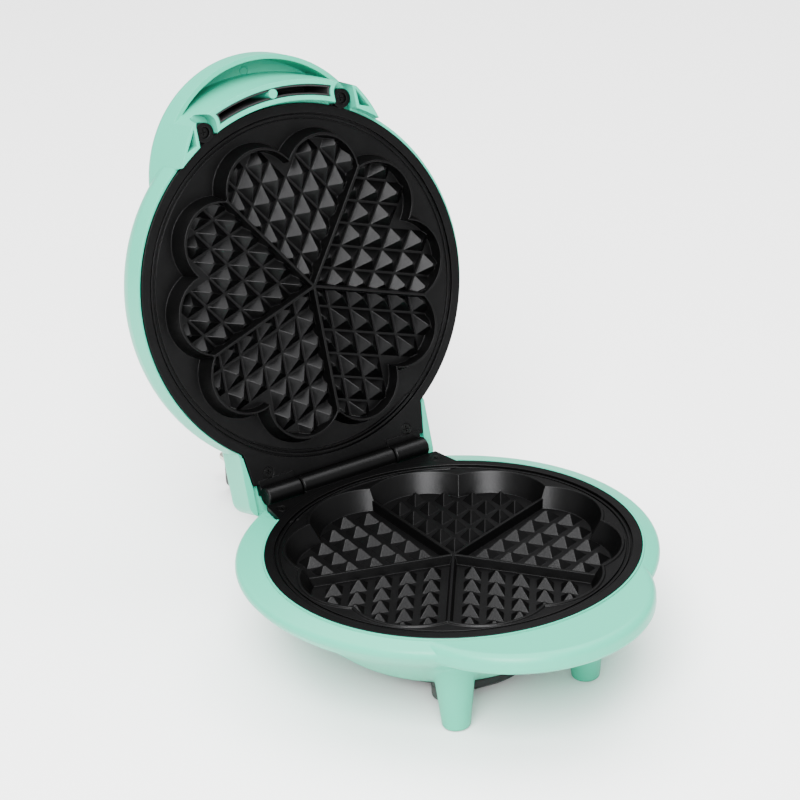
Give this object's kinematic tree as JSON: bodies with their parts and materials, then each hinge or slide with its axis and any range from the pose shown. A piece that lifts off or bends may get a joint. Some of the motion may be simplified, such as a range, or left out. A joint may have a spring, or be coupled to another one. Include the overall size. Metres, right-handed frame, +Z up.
{
  "type": "electric heart waffle maker",
  "caption": "Countertop heart waffle maker, lid open: round base on legs, pan of hearts divided by ridges, domed lid with matching plate on a rear hinge, cord wound under the base.",
  "frame": {"origin": "on the table, under the middle of the open waffle maker's footprint, measured without the cord and its plug", "axes": "+Z up, -Y towards the user at the base's handle, +Y to the hinge and the open lid, +X across to the user's right"},
  "size_m": [0.2078, 0.3685, 0.267],
  "materials": {
    "mint_plastic": "smooth moulded plastic with a soft sheen",
    "plate_coating": "cast aluminium under a black non-stick coating, fine-grained satin",
    "steel": "bright zinc-plated steel",
    "black_steel": "blackened steel",
    "tin": "thin bright sheet",
    "heater_steel": "dull heat-browned sheath",
    "rubber": "matt black rubber",
    "black_plastic": "matt moulded plastic",
    "cord_pvc": "soft black sheath",
    "plug_metal": "nickel-plated brass",
    "white_plastic": "white moulded plastic",
    "board": "phenolic board",
    "wire_cover": "woven glass sleeve",
    "red_window": "tinted window",
    "green_window": "tinted window",
    "lamp_glass": "small glass lamp"
  },
  "bodies": {
    "base": {"base_housing": "mint_plastic", "foot_pads": "rubber", "lower_plate": "plate_coating", "lower_plate_screws": "black_steel", "lower_fixing_screws": "steel", "lower_heater": "heater_steel", "lower_reflector": "tin", "lower_reflector_screws": "steel", "thermal_fuse": "white_plastic", "fuse_clip": "steel", "fuse_clip_screw": "steel", "terminal_block": "white_plastic", "base_wires": "wire_cover", "hinge_pin": "black_steel", "cord_hub": "black_plastic", "cord_hub_screws": "steel", "strain_relief": "rubber", "cord_coil": "cord_pvc", "cord_tail": "cord_pvc", "plug_body": "black_plastic", "plug_pins": "plug_metal"},
    "lid": {"lid_housing": "mint_plastic", "rail_liner": "black_plastic", "upper_plate": "plate_coating", "upper_plate_screws": "black_steel", "upper_heater": "heater_steel", "upper_reflector": "tin", "upper_reflector_screws": "steel", "thermostat": "black_plastic", "thermostat_screws": "steel", "lamp_board": "board", "lamp_board_screws": "steel", "neon_lamps": "lamp_glass", "power_lens": "red_window", "ready_lens": "green_window", "lid_wires": "wire_cover"}
  },
  "joints": [
    {"name": "lid_hinge", "type": "hinge", "parent": "base", "child": "lid", "pos_m": [0, 0.06392, 0.0632], "axis": [1, 0, 0], "range_deg": [0, 105.45]}
  ]
}
